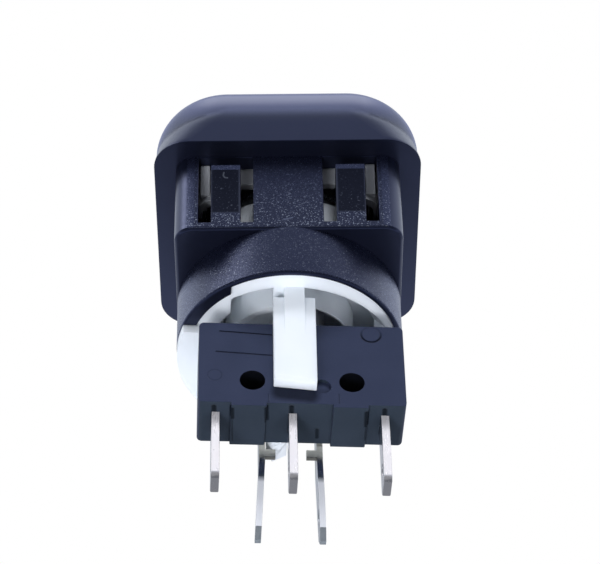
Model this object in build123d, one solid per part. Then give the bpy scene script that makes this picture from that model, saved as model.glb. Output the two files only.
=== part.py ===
from build123d import *
import math
import os

os.makedirs("parts", exist_ok=True)

# Illuminated push button for a panel, in its mounted position. Millimetres.
# The origin is the centre of the bezel's rear rim plane, where the panel's front
# surface lies. +Y runs into the panel, -Y faces the user and +Z is up.

# Running and seating gaps
slide_gap = 0.15
lens_gap = 0.30
bore_gap = 0.08
stop_gap = 0.05
plunger_gap = 0.05
stud_gap = 0.05

# Travel
stroke = 2.0
foot_rest_gap = 1.1
plunger_travel = stroke - foot_rest_gap
contact_travel = 0.45

# Bezel
bezel_half = 13.55
bezel_corner = 3.6
bezel_front = 9.9
bezel_straight = 0.7
round_reach = 1.1
corner_margin = 2.7

# Block behind the panel
block_half = 11.35
block_length = 10.2
block_corner = 2.0
block_edge = 0.25

# Round barrel
barrel_inset = 0.05
barrel_radius = block_half - barrel_inset
barrel_end = 16.2
barrel_edge = 0.2
bore_wall = 0.9
bore_radius = block_half - bore_wall
bore_start = 4.4
mouth_step = 0.35
mouth_radius = bore_radius + mouth_step
mouth_depth = 1.6
mouth_start = barrel_end - mouth_depth

# Square guide inside the block
guide_wall = 1.7
guide_half = block_half - guide_wall
guide_corner = 2.3
guide_front = -4.0
guide_end = 6.8

# Latch windows and fingers, mirrored left and right, top and bottom
window_front = 0.1
window_end = 9.3
slot_width = 1.25
finger_width = 2.95
slot_margin = 0.7
outer_slot_out = guide_half - slot_margin
outer_slot_in = outer_slot_out - slot_width
inner_slot_out = outer_slot_in - finger_width
inner_slot_in = inner_slot_out - slot_width
slot_overlap = 0.4
slot_low = math.sqrt(bore_radius ** 2 - outer_slot_out ** 2) - slot_overlap
catch_y = 2.1
finger_lead = 0.3
catch_height = 0.9
catch_land = 0.7
catch_root = 0.5
ramp_end = 8.0

# Lens, diffuser and carrier
carrier_half = guide_half - slide_gap
carrier_wall = 0.8
carrier_corner = guide_corner
carrier_front = -6.3
carrier_rear = 2.1
lip_inset = 1.0
lip_half = carrier_half - lip_inset
lip_wall = 0.8
lip_corner = 0.8
shoulder_thickness = 0.8
lip_front = -7.2
web_front = -4.5
web_rear = -3.5
web_hole = 3.6
spring_wire = 0.3
spring_side_gap = 0.25
spring_radius = carrier_half - carrier_wall - spring_side_gap - spring_wire
guide_tube_out = spring_radius - spring_wire - spring_side_gap
guide_tube_wall = 0.6
guide_tube_in = guide_tube_out - guide_tube_wall
leg_width = 2.5
leg_reach = carrier_half - leg_width
leg_end = 4.3
nib_in = outer_slot_in + slide_gap
nib_out = outer_slot_out - slide_gap
nib_length = 3.6
nib_height = 0.8
nib_land = 0.3
nib_root = 0.4
lens_wall = 1.05
lens_half = lip_half + lens_wall
lens_corner = 2.6
lens_front = -11.0
cap_gap = 0.1
lens_edge = 0.9
lens_hollow_end = -9.2
diffuser_thickness = 1.2
opening_half = lens_half + lens_gap
opening_corner = lens_corner + lens_gap
bezel_round = bezel_half - opening_half + round_reach
bezel_blend = bezel_front - bezel_round - bezel_straight
bezel_front_corner = bezel_round + corner_margin

# Actuator foot of the carrier
foot_x = -0.2
foot_half_width = 1.2
foot_low = 3.8
foot_high = 5.2

# Holder ring
lug_radius = bore_radius - bore_gap
lug_height = 0.47
ring_out = lug_radius - lug_height
ring_wall = 1.0
ring_in = ring_out - ring_wall
ring_front = 4.6
ring_front_in = guide_tube_out
ring_front_depth = 1.2
ring_inset = 0.2
ring_rear = barrel_end - ring_inset
rim_drop = 1.95
rim_depth = 1.2
rim_run = 1.5
floor_front = 10.5
floor_thickness = 1.5
floor_rear = floor_front + floor_thickness
inner_tube_out = 6.45
inner_tube_in = 5.7
recess_wall = 0.2
inner_fill_inset = 0.25
flange_inset = 0.05
flange_radius = barrel_radius - flange_inset
flange_thickness = 1.0
flange_top = 3.4
rear_plate_top = 1.1
holder_twist = -3.0

# Bayonet: two ramps in the barrel's mouth, lugs in front of them, a notched rim
ramp_radius = ring_out + bore_gap
ramp_seat = 0.2
ramp_angle = 50.0
ramp_half_angle = 28.0
notch_in = 6.1
notch_angle = 63.5
notch_half_angle = 41.5
pad_depth = 1.0
pad_angle = 60.0
pad_half_angle = 32.0
lug_length = 1.35
lug_rear = mouth_start - stop_gap
lug_front = lug_rear - lug_length
lug_angle = 52.0
lug_half_angle = 8.0

# Return spring
spring_turns = 4.0
spring_facets = 20

# Lamp
bulb_radius = 2.85
bulb_tip = -1.5
glass_end = 9.0
cap_radius = 2.65
cap_end = 13.9
cap_flange_radius = 3.3
cap_flange_thickness = 0.6
cap_tip_radius = 0.9
cap_tip_length = 0.6
glass_wall = 0.35
glass_lap = 1.2
filament_y = 2.3
filament_wire = 0.14
stem_z = 1.1
socket_gap = 0.15
socket_in = bulb_radius + socket_gap
socket_wall = 0.55
socket_out = socket_in + socket_wall
socket_end = 15.5
passage_half = 2.0
passage_x = -0.1

# Micro switch: a standard sub-miniature case
switch_x = -0.7
switch_length = 19.8
switch_front = 19.1
switch_depth = 10.2
switch_thickness = 5.8
switch_low = 1.15
switch_corner = 0.5
cover_thickness = 1.1
hole_pitch = 9.5
hole_radius = 1.2
hole_from_rear = 2.85
boss_width = 3.35
boss_proud = 0.35
boss_pitch = 9.68
boss_shift = 0.24
tab_common_x = 8.2
tab_open_x = 0.85
tab_closed_x = -7.95
tab_thickness = 0.8
tab_width = 2.8
tab_end = 37.1
tab_tip_rise = 0.35
tab_tip_run = 0.6
tab_hole_radius = 0.7
switch_wall = 1.0

# Arm over the switch, shelf under it
arm_half_width = 2.05
arm_start = 16.85
arm_end = 27.3
arm_end_slant = 0.4
arm_thickness = 1.4
rib_half_width = 1.0
rib_height = 0.55
rib_end = 22.1
shelf_end = 27.4
shelf_low = -0.9
shelf_left = 5.9
shelf_right = -7.1
stud_top = 4.2

# Lamp terminals
blade_x = 2.8
blade_thickness = 0.6
blade_low = -3.9
blade_high = -1.1
blade_end = 38.5
blade_point = 1.2
blade_slope_from = 34.2
blade_slope = 0.5
blade_left_splay = 0.4
blade_right_splay = 0.2
blade_splay_from = 29.6
blade_hole_from_end = 3.2
strip_start = 15.0
strip_overlap = 0.1
tip_half = 0.7
tip_gap = 0.02
tail_half = 4.0
tail_low = -4.6
tail_end = 24.0
wedge_in = 0.35
wedge_out = 2.35
wedge_bend = 27.0
wedge_tip_x = 1.75
wedge_tip_y = 28.2
wedge_low = -3.0
tongue_thickness = 0.5
stub_length = 1.0
stub_width = 0.95
stub_y = 28.2

# Mechanism inside the switch
blade_y = 22.2
strip_thickness = 0.2
hub_radius = 0.2
rivet_radius = 0.75
rivet_half = 0.45
contact_x = -6.3
plunger_x = 0.7
plunger_radius = 0.8
plunger_collar = 1.3
plunger_out = 0.9
plunger_inner = 21.35

beyond = 1.5 * bezel_half
switch_rear = switch_front + switch_depth
switch_top = switch_low + switch_thickness
switch_mid = switch_low + switch_thickness / 2
hole_y = switch_rear - hole_from_rear
cover_low = switch_top - cover_thickness
cavity_end = hole_y - hole_radius - 0.5


# A block between two corners
def box(x0, x1, y0, y1, z0, z1):
    size = (x1 - x0, y1 - y0, z1 - z0)
    return Pos((x0 + x1) / 2, (y0 + y1) / 2, (z0 + z1) / 2) * Box(*size)


# A round bar along Y
def rod(x, z, radius, y0, y1):
    return Pos(x, (y0 + y1) / 2, z) * Rot(90, 0, 0) * Cylinder(radius, y1 - y0)


# A round tube on the button's axis
def tube(outer, inner, y0, y1):
    return rod(0, 0, outer, y0, y1) - rod(0, 0, inner, y0 - 1, y1 + 1)


# A square bar along Y with rounded long edges
def square_bar(half, corner, y0, y1):
    bar = box(-half, half, y0, y1, -half, half)
    return fillet(bar.edges().filter_by(Axis.Y), corner)


# A square sleeve along Y
def square_tube(half, corner, wall, y0, y1):
    inner_corner = max(corner - wall, 0.2)
    outer = square_bar(half, corner, y0, y1)
    return outer - square_bar(half - wall, inner_corner, y0 - 1, y1 + 1)


# A round bar along Z
def upright_hole(x, y, radius, z0, z1):
    return Pos(x, y, (z0 + z1) / 2) * Cylinder(radius, z1 - z0)


# A round bar along X
def across_hole(y, z, radius, x0, x1):
    return Pos((x0 + x1) / 2, y, z) * Rot(0, 90, 0) * Cylinder(radius, x1 - x0)


# A piece of a ring; angles run from straight up towards +X
def sector(outer, inner, y0, y1, angle, half_angle):
    first = math.radians(angle - half_angle)
    last = math.radians(angle + half_angle)
    middle = math.radians(angle)
    far = outer * 2.5
    points = [(0, 0)]
    for turn in (first, middle, last):
        points.append((far * math.sin(turn), far * math.cos(turn)))
    wedge_plane = Plane(origin=(0, y1, 0), x_dir=(1, 0, 0), z_dir=(0, -1, 0))
    wedge = extrude(wedge_plane * make_face(Polyline(*points, close=True)), y1 - y0)
    return tube(outer, inner, y0, y1) & wedge


# A block with the given outline in Y and Z, between two X values
def side_profile(points, x0, x1):
    plane = Plane(origin=(x0, 0, 0), x_dir=(0, 1, 0), z_dir=(1, 0, 0))
    return extrude(plane * make_face(Polyline(*points, close=True)), x1 - x0)


# A block with the given outline in X and Y, between two heights
def top_profile(points, z0, z1):
    plane = Plane(origin=(0, 0, z0), x_dir=(1, 0, 0), z_dir=(0, 0, 1))
    return extrude(plane * make_face(Polyline(*points, close=True)), z1 - z0)


# Write one piece, turned with the holder if it rides on it
def save(name, shape, turned=False):
    if turned:
        shape = Rot(0, holder_twist, 0) * shape
    solids = shape.solids()
    out = solids[0] if len(solids) == 1 else Compound(children=list(solids))
    out.label = name
    export_step(out, f"parts/{name}.step")
    print(name, len(solids), round(out.volume, 2), flush=True)


# Housing: bezel
rim_plane = Plane(origin=(0, 0, 0), x_dir=(1, 0, 0), z_dir=(0, -1, 0))
blend_plane = rim_plane.offset(bezel_blend)
rim_outline = rim_plane * RectangleRounded(2 * bezel_half, 2 * bezel_half, bezel_corner)
blend_outline = blend_plane * RectangleRounded(2 * bezel_half, 2 * bezel_half, bezel_front_corner)
bezel = loft([rim_outline, blend_outline], ruled=True)
front_block = extrude(blend_outline, bezel_front - bezel_blend)
front_block = fillet(front_block.faces().sort_by(Axis.Y)[0].edges(), bezel_round)
bezel = bezel + front_block
opening = square_bar(opening_half, opening_corner, -bezel_front - 1, guide_front)
bezel = bezel - opening

# Housing: block and barrel
block = square_bar(block_half, block_corner, -1, block_length)
block = chamfer(block.faces().sort_by(Axis.Y)[-1].edges(), block_edge)
barrel = rod(0, 0, barrel_radius, block_length - 1, barrel_end)
barrel = chamfer(barrel.faces().sort_by(Axis.Y)[-1].edges(), barrel_edge)
housing = bezel + block + barrel
housing = housing - square_bar(guide_half, guide_corner, guide_front - 0.5, guide_end)
housing = housing - rod(0, 0, bore_radius, bore_start, barrel_end + 1)
housing = housing - rod(0, 0, mouth_radius, mouth_start, barrel_end + 1)

# Housing: latch windows with their flexing fingers
for side in (-1, 1):
    for flip in (0, 180):
        cuts = []
        for near, far in ((inner_slot_in, inner_slot_out), (outer_slot_in, outer_slot_out)):
            low_x = min(side * near, side * far)
            high_x = max(side * near, side * far)
            cuts.append(box(low_x, high_x, window_front, window_end, slot_low, block_half + 1))
        low_x = min(side * inner_slot_in, side * outer_slot_out)
        high_x = max(side * inner_slot_in, side * outer_slot_out)
        cuts.append(box(low_x, high_x, window_front, catch_y - finger_lead, slot_low, block_half + 1))
        catch_points = [
            (catch_y, block_half - catch_root),
            (catch_y, block_half + catch_height),
            (catch_y + catch_land, block_half + catch_height),
            (ramp_end, block_half),
            (ramp_end, block_half - catch_root),
        ]
        low_x = min(side * inner_slot_out, side * outer_slot_in)
        high_x = max(side * inner_slot_out, side * outer_slot_in)
        catch = side_profile(catch_points, low_x, high_x)
        for cut in cuts:
            housing = housing - Rot(0, flip, 0) * cut
        housing = housing + Rot(0, flip, 0) * catch

# Housing: bayonet ramps in the barrel's mouth
ramp = sector(mouth_radius + ramp_seat, ramp_radius, mouth_start, barrel_end, ramp_angle, ramp_half_angle)
ramp = ramp & box(notch_in + stop_gap, beyond, 0, beyond, -beyond, beyond)
for turn in (0, 180):
    housing = housing + Rot(0, holder_twist + turn, 0) * ramp
save("housing", housing)

# Lens carrier: square sleeve, web, spring guide, corner legs, nibs and foot
carrier = square_tube(carrier_half, carrier_corner, carrier_wall, carrier_front, carrier_rear)
carrier = carrier + square_tube(lip_half, lip_corner, lip_wall, lip_front, carrier_front + 1.2)
shoulder = square_bar(carrier_half, carrier_corner, carrier_front, carrier_front + shoulder_thickness)
carrier = carrier + (shoulder - square_bar(lip_half - lip_wall, 0.5, carrier_front - 1, carrier_front + 2))
web = square_bar(carrier_half - 0.2, carrier_corner, web_front, web_rear)
carrier = carrier + (web - rod(0, 0, web_hole, web_front - 1, web_rear + 1))
carrier = carrier + tube(guide_tube_out, guide_tube_in, web_rear - 0.2, carrier_rear)
leg_sleeve = square_tube(carrier_half, carrier_corner, carrier_wall, carrier_rear - 0.5, leg_end)
reach = carrier_half + 1
for sx in (-1, 1):
    for sz in (-1, 1):
        low_x = min(sx * leg_reach, sx * reach)
        high_x = max(sx * leg_reach, sx * reach)
        low_z = min(sz * leg_reach, sz * reach)
        high_z = max(sz * leg_reach, sz * reach)
        corner_block = box(low_x, high_x, carrier_rear - 1, leg_end + 1, low_z, high_z)
        carrier = carrier + (leg_sleeve & corner_block)
        low_x = min(sx * nib_in, sx * nib_out)
        high_x = max(sx * nib_in, sx * nib_out)
        nib_top = carrier_half + nib_height
        nib_points = [
            (window_front + stop_gap, sz * (carrier_half - nib_root)),
            (window_front + stop_gap, sz * nib_top),
            (window_front + stop_gap + nib_land, sz * nib_top),
            (window_front + stop_gap + nib_length, sz * (carrier_half + 0.1)),
            (window_front + stop_gap + nib_length, sz * (carrier_half - nib_root)),
        ]
        carrier = carrier + side_profile(nib_points, low_x, high_x)
foot_end = switch_front - plunger_out - foot_rest_gap
foot = box(foot_x - foot_half_width, foot_x + foot_half_width, web_rear - 0.5, foot_end, foot_low, foot_high)
carrier = carrier + foot
save("lens_carrier", carrier)

# Diffuser plate on the carrier's lip
diffuser = square_bar(lip_half, lip_corner, lip_front - diffuser_thickness, lip_front)
save("diffuser", diffuser)

# Lens cap over the carrier's lip
lens = square_bar(lens_half, lens_corner, lens_front, carrier_front)
lens = fillet(lens.faces().sort_by(Axis.Y)[0].edges(), lens_edge)
hollow_half = lip_half + cap_gap
lens = lens - square_bar(hollow_half, 0.9, lens_hollow_end, carrier_front + 1)
save("lens", lens)

# Return spring between the carrier's web and the holder's front face
spring_from = web_rear + spring_wire
spring_to = ring_front - spring_wire
spring_rise = (spring_to - spring_from) / spring_turns
stations = []
for step in range(int(spring_turns * spring_facets) + 1):
    turn = 2 * math.pi * step / spring_facets
    along = spring_from + spring_rise * step / spring_facets
    stations.append((spring_radius * math.cos(turn), along, spring_radius * math.sin(turn)))
coil_path = Polyline(*stations)
wire_plane = Plane(origin=coil_path @ 0, z_dir=coil_path % 0)
wire_section = wire_plane * RegularPolygon(spring_wire, 8)
spring = sweep(wire_section, path=coil_path, transition=Transition.RIGHT)
save("return_spring", spring)

# Lamp holder: bayonet ring, floor, inner tube, lamp socket, flange, arm and shelf
holder = tube(ring_out, ring_in, ring_front, ring_rear)
collar_out = mouth_radius - bore_gap
collar_start = mouth_start + bore_gap
holder = holder + tube(collar_out, ring_in, collar_start, ring_rear)
holder = holder + tube(ring_out, ring_front_in, ring_front, ring_front + ring_front_depth)
above_flange = box(-beyond, beyond, 0, beyond, flange_top, beyond)
funnel_start = Plane(origin=(0, ring_rear - rim_depth, 0), x_dir=(1, 0, 0), z_dir=(0, 1, 0))
funnel_end = funnel_start.offset(rim_run * rim_depth)
funnel_end_circle = funnel_end * Pos(0, rim_run * rim_drop) * Circle(ring_in + rim_run * rim_drop)
funnel = loft([funnel_start * Circle(ring_in), funnel_end_circle], ruled=True)
holder = holder - (funnel & above_flange)
holder = holder + rod(0, 0, ring_in + 0.2, floor_front, floor_rear)
holder = holder + tube(inner_tube_out, inner_tube_in, floor_front + 0.5, ring_rear)
passage_left = passage_x - passage_half
passage_right = passage_x + passage_half
inner_fill = rod(0, 0, inner_tube_out - 0.1, floor_front + 0.5, ring_rear - inner_fill_inset)
holder = holder + (inner_fill & box(passage_right, beyond, 0, beyond, 0, beyond))
flange = tube(flange_radius, ring_in, barrel_end, barrel_end + flange_thickness)
flange = flange + rod(0, 0, ring_in + 0.2, barrel_end, barrel_end + flange_thickness)
below_flange = box(-beyond, beyond, 0, beyond, -beyond, flange_top)
rim_join = tube(collar_out, ring_in, ring_rear - 0.5, barrel_end + 0.5)
lower = (flange + rim_join) & below_flange
below_plate = box(-ring_in - 0.1, ring_in + 0.1, 0, beyond, rear_plate_top, beyond)
lower = lower - (rod(0, 0, ring_in, 0, beyond) & below_plate)
holder = holder + lower
notch = sector(2 * beyond, ring_out, lug_rear, barrel_end, notch_angle, notch_half_angle)
pad = sector(ring_out, ring_in - pad_depth, floor_rear - 0.5, ring_rear, pad_angle, pad_half_angle)
notch_side = box(notch_in, beyond, 0, beyond, -beyond, beyond)
for turn in (0, 180):
    holder = holder - Rot(0, turn, 0) * (notch & notch_side)
holder = holder + (pad & notch_side)
holder = holder + rod(0, 0, socket_out, floor_front, barrel_end + 0.5)
arm_low = switch_top + stop_gap
arm_high = arm_low + arm_thickness
arm_points = [
    (-arm_half_width, arm_start),
    (arm_half_width, arm_start),
    (arm_half_width, arm_end),
    (-arm_half_width, arm_end + arm_end_slant),
]
arm = top_profile(arm_points, arm_low, arm_high)
arm = chamfer(arm.faces().sort_by(Axis.Y)[-1].edges().sort_by(Axis.Z)[-1], 0.3)
arm = arm + box(-rib_half_width, rib_half_width, floor_front + 0.5, arm_start + 1, arm_low, arm_high)
root = box(-rib_half_width, arm_half_width, floor_front + 0.5, ring_rear, inner_tube_in, ring_in + 0.2)
rib_points = [
    (floor_rear, arm_high - 0.3),
    (floor_rear, arm_high + rib_height),
    (arm_start, arm_high + rib_height),
    (rib_end, arm_high),
    (rib_end, arm_high - 0.3),
]
arm = arm + side_profile(rib_points, -rib_half_width, rib_half_width)
holder = holder + arm + root
shelf = box(shelf_right, shelf_left, barrel_end, shelf_end, shelf_low, switch_low)
tail = box(-tail_half, tail_half, barrel_end, tail_end, tail_low, shelf_low + 0.1)
wedge_points = [
    (wedge_in, tail_end - 0.5),
    (wedge_out, tail_end - 0.5),
    (wedge_out, wedge_bend),
    (wedge_tip_x, wedge_tip_y),
    (wedge_in, shelf_end),
]
wedge = top_profile(wedge_points, wedge_low, shelf_low + 0.1)
holder = holder + shelf + tail + wedge
for sx in (-1, 1):
    stud = upright_hole(switch_x + sx * hole_pitch / 2, hole_y, hole_radius - stud_gap, 0, stud_top)
    stud = chamfer(stud.faces().sort_by(Axis.Z)[-1].edges(), 0.25)
    holder = holder + stud
    lug = sector(lug_radius, ring_in + 0.5, lug_front, lug_rear, lug_angle + 90 - sx * 90, lug_half_angle)
    holder = holder + lug

# Lamp holder: lamp pocket, foot passage and terminal slots
glass_seat = glass_end + cap_flange_thickness
holder = holder - rod(0, 0, socket_in, 0, socket_end)
holder = holder - box(passage_left, passage_right, 0, barrel_end + 2, socket_out - 0.05, inner_tube_in - 0.05)
recess = rod(0, 0, inner_tube_out - recess_wall, 0, barrel_end + 2) - rod(0, 0, socket_out, 0, beyond)
holder = holder - (recess & box(-beyond, passage_left, 0, barrel_end + 2, rear_plate_top, beyond))
socket = rod(0, 0, socket_out, glass_seat, barrel_end) - rod(0, 0, socket_in, 0, socket_end)
holder = holder + socket
strip_in = blade_x - blade_thickness / 2
strip_out = blade_x + blade_thickness / 2
tongue_in = math.sqrt(cap_radius ** 2 - blade_high ** 2) + 0.04
tongue_out = tongue_in + tongue_thickness
tongue_start = floor_front + strip_overlap
left_slot = box(strip_in, strip_out, strip_start, 2 * beyond, blade_low, blade_high)
strip_joint = strip_start + strip_overlap
left_slot = left_slot + box(tongue_in, tongue_out, tongue_start, strip_joint, blade_low, blade_high)
right_slot = box(-strip_out, -strip_in, strip_start, 2 * beyond, blade_low, blade_high)
tip_y = cap_end + cap_tip_length
tongue_y = tip_y + tip_gap
tongue_low = blade_high - 1.0
tongue_box = box(-strip_out, tip_half, tongue_y, tongue_y + tongue_thickness, tongue_low, tip_half)
riser_end = strip_start + 2 * strip_overlap
right_slot = right_slot + tongue_box + box(-strip_out, -strip_in, tip_y, riser_end, tongue_low, tip_half)
holder = holder - left_slot - right_slot
save("lamp_holder", holder, True)

# Lamp: glass bulb, filament with its stem, and cap
bulb_mid = bulb_tip + bulb_radius
glass = rod(0, 0, bulb_radius, bulb_mid, glass_end) + Pos(0, bulb_mid, 0) * Sphere(bulb_radius)
hollow_radius = bulb_radius - glass_wall
hollow = rod(0, 0, hollow_radius, bulb_mid, glass_end - glass_lap)
glass = glass - hollow - Pos(0, bulb_mid, 0) * Sphere(hollow_radius)
save("lamp_glass", glass, True)
stem_start = filament_y - 0.1
filament = rod(0, stem_z, filament_wire, stem_start, glass_end - glass_lap)
filament = filament + rod(0, -stem_z, filament_wire, stem_start, glass_end - glass_lap)
filament = filament + upright_hole(0, filament_y, filament_wire - 0.02, -stem_z, stem_z)
save("lamp_filament", filament, True)
cap = rod(0, 0, cap_flange_radius, glass_end, glass_seat)
cap = cap + rod(0, 0, cap_radius, glass_end, cap_end)
cap = cap + rod(0, 0, cap_tip_radius, cap_end - 0.3, tip_y)
save("lamp_cap", cap, True)


# Solder blade of one lamp terminal, seen from above
def lamp_blade(side, splay):
    inner = side * strip_in
    outer = side * strip_out
    shift = side * splay
    points = [
        (inner, strip_start),
        (outer, strip_start),
        (outer, blade_splay_from),
        (outer + shift, blade_end),
        (inner + shift, blade_end),
        (inner, blade_splay_from),
    ]
    blade = top_profile(points, blade_low, blade_high)
    middle = (blade_low + blade_high) / 2
    point_profile = [
        (strip_start - 1, blade_low),
        (strip_start - 1, blade_high),
        (blade_slope_from, blade_high),
        (blade_end - blade_point, blade_high - blade_slope),
        (blade_end, middle + 0.25),
        (blade_end, middle - 0.25),
        (blade_end - blade_point, blade_low),
    ]
    blade = blade & side_profile(point_profile, -beyond, beyond)
    hole = across_hole(blade_end - blade_hole_from_end, middle, tab_hole_radius, -beyond, beyond)
    stub_in = side * (strip_in - stub_length)
    low_x = min(stub_in, inner)
    high_x = max(stub_in, inner)
    stub = box(low_x, high_x, stub_y, stub_y + stub_width, blade_high - 0.5, blade_high)
    return blade - hole + stub


left = lamp_blade(1, blade_left_splay)
left = left + box(tongue_in, tongue_out, tongue_start, strip_joint, blade_low, blade_high)
save("lamp_contact_left", left, True)
right = lamp_blade(-1, blade_right_splay)
right = right + tongue_box
right = right + box(-strip_out, -strip_in, tongue_y, strip_joint, tongue_low, blade_high)
save("lamp_contact_right", right, True)

# Switch case and cover
half_length = switch_length / 2
low_x = switch_x - half_length
high_x = switch_x + half_length
case = box(low_x, high_x, switch_front, switch_rear, switch_low, cover_low)
case = fillet(case.edges().filter_by(Axis.Z), switch_corner)
for sx in (-1, 1):
    mid = switch_x + boss_shift + sx * boss_pitch / 2
    case = case + box(mid - boss_width / 2, mid + boss_width / 2, switch_rear - 1, switch_rear + boss_proud,
                      switch_low, cover_low)
cavity = box(low_x + switch_wall, high_x - switch_wall, switch_front + switch_wall, cavity_end,
             switch_low + switch_wall, cover_low + 1)
case = case - cavity
cover = box(low_x, high_x, switch_front, switch_rear, cover_low, switch_top)
cover = fillet(cover.edges().filter_by(Axis.Z), switch_corner)
for sx in (-1, 1):
    mid = switch_x + boss_shift + sx * boss_pitch / 2
    cover = cover + box(mid - boss_width / 2, mid + boss_width / 2, switch_rear - 1, switch_rear + boss_proud,
                        cover_low, switch_top)
for sx in (-1, 1):
    hole = upright_hole(switch_x + sx * hole_pitch / 2, hole_y, hole_radius, switch_low - 1, switch_top + 1)
    case = case - hole
    cover = cover - hole
cover = cover - upright_hole(switch_x - 1.9, hole_y + 0.6, 0.85, switch_top - 0.4, switch_top + 1)
case = case - rod(switch_x + plunger_x, switch_mid, plunger_radius + plunger_gap, switch_front - 1,
                  switch_front + switch_wall + 1)


# Straight terminal tab with a tapered end and a solder hole
def tab(x, inner_end):
    centre = switch_x + x
    low = switch_mid - tab_width / 2
    high = switch_mid + tab_width / 2
    points = [
        (inner_end, low),
        (inner_end, high),
        (tab_end - tab_tip_run, high),
        (tab_end, high - tab_tip_rise),
        (tab_end, low + tab_tip_rise),
        (tab_end - tab_tip_run, low),
    ]
    body = side_profile(points, centre - tab_thickness / 2, centre + tab_thickness / 2)
    hole = across_hole(tab_end - 2.2, switch_mid, tab_hole_radius, centre - 2, centre + 2)
    return body - hole


strip_low = switch_mid - 1.2
strip_high = switch_mid + 1.2
for x in (tab_common_x, tab_open_x, tab_closed_x):
    centre = switch_x + x
    case = case - box(centre - tab_thickness / 2, centre + tab_thickness / 2, cavity_end - 0.5, switch_rear + 2,
                      switch_mid - tab_width / 2, switch_mid + tab_width / 2)
save("switch_case", case, True)
save("switch_cover", cover, True)

# Switch terminals
common = tab(tab_common_x, blade_y - 0.8)
save("common_terminal", common, True)
open_strip_y = blade_y + rivet_half + contact_travel + 0.9
open_left = switch_x + contact_x - 0.9
open_right = switch_x + tab_open_x + tab_thickness / 2
open_terminal = tab(tab_open_x, open_strip_y)
open_terminal = open_terminal + box(open_left, open_right, open_strip_y, open_strip_y + 0.5, strip_low, strip_high)
save("open_terminal", open_terminal, True)
closed_strip_y = blade_y - rivet_half - 0.75
closed_x = switch_x + tab_closed_x
closed_terminal = tab(tab_closed_x, closed_strip_y - 0.5)
closed_right = switch_x + contact_x + 0.9
closed_terminal = closed_terminal + box(closed_x, closed_right, closed_strip_y - 0.5, closed_strip_y,
                                        strip_low, strip_high)
save("closed_terminal", closed_terminal, True)

# Contacts
contact_centre = switch_x + contact_x
open_contact = rod(contact_centre, switch_mid, rivet_radius, open_strip_y - 0.9, open_strip_y)
save("open_contact", open_contact, True)
closed_contact = rod(contact_centre, switch_mid, rivet_radius, closed_strip_y, blade_y - rivet_half)
save("closed_contact", closed_contact, True)

# Moving blade with its double contact
blade_left = contact_centre - 0.95
blade_right = switch_x + tab_common_x - tab_thickness / 2 - stop_gap
blade = box(blade_left, blade_right - hub_radius, blade_y - strip_thickness / 2,
            blade_y + strip_thickness / 2, strip_low, strip_high)
blade = blade + upright_hole(blade_right - hub_radius, blade_y, hub_radius, strip_low, strip_high)
rivet_seat = rod(contact_centre, switch_mid, 0.4, blade_y - 1, blade_y + 1)
save("switch_blade", blade - rivet_seat, True)
moving_contact = rod(contact_centre, switch_mid, rivet_radius, blade_y - rivet_half, blade_y + rivet_half)
moving_contact = moving_contact - (box(-beyond, beyond, blade_y - strip_thickness / 2, blade_y + strip_thickness / 2,
                                       -beyond, beyond) - rod(contact_centre, switch_mid, 0.4, blade_y - 1, blade_y + 1))
save("moving_contact", moving_contact, True)

# Plunger
plunger_centre = switch_x + plunger_x
plunger = rod(plunger_centre, switch_mid, plunger_radius, switch_front - plunger_out, plunger_inner)
plunger = plunger + rod(plunger_centre, switch_mid, plunger_collar, switch_front + switch_wall + stop_gap,
                        switch_front + switch_wall + stop_gap + 0.5)
save("switch_plunger", plunger, True)
print("pieces written")
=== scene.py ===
import bpy
import bmesh
import math
from mathutils import Matrix, Vector


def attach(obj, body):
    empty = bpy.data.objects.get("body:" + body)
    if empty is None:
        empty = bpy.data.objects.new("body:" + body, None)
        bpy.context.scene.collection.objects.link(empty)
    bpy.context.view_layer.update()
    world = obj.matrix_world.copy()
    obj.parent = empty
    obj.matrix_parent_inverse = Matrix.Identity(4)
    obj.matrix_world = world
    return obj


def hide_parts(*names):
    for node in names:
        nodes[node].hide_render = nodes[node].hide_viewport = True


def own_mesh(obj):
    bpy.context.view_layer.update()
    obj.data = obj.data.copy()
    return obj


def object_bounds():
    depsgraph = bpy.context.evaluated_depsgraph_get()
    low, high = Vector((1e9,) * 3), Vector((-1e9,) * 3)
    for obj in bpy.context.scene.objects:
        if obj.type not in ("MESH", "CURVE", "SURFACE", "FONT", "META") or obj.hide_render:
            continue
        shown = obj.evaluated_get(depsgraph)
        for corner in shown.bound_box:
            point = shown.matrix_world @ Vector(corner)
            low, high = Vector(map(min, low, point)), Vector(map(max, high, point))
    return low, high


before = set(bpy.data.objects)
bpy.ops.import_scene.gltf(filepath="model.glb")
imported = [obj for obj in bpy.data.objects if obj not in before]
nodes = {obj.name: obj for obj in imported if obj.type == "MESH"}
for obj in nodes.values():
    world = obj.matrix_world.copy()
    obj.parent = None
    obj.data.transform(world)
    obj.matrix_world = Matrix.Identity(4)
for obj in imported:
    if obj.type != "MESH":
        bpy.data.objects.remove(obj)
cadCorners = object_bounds()
mm = 0.001
print("frame loaded:", len(nodes), "pieces")


# Helpers for meshes

def addObject(name, mesh):
    made = bpy.data.objects.new(name, mesh)
    bpy.context.scene.collection.objects.link(made)
    return made


def bakeModifiers(piece):
    # the evaluated piece becomes a plain mesh without modifiers
    depsgraph = bpy.context.evaluated_depsgraph_get()
    evaluated = piece.evaluated_get(depsgraph)
    mesh = bpy.data.meshes.new_from_object(evaluated, preserve_all_data_layers=True, depsgraph=depsgraph)
    old = piece.data
    piece.modifiers.clear()
    piece.data = mesh
    if old.users == 0:
        bpy.data.meshes.remove(old)
    return piece


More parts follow.
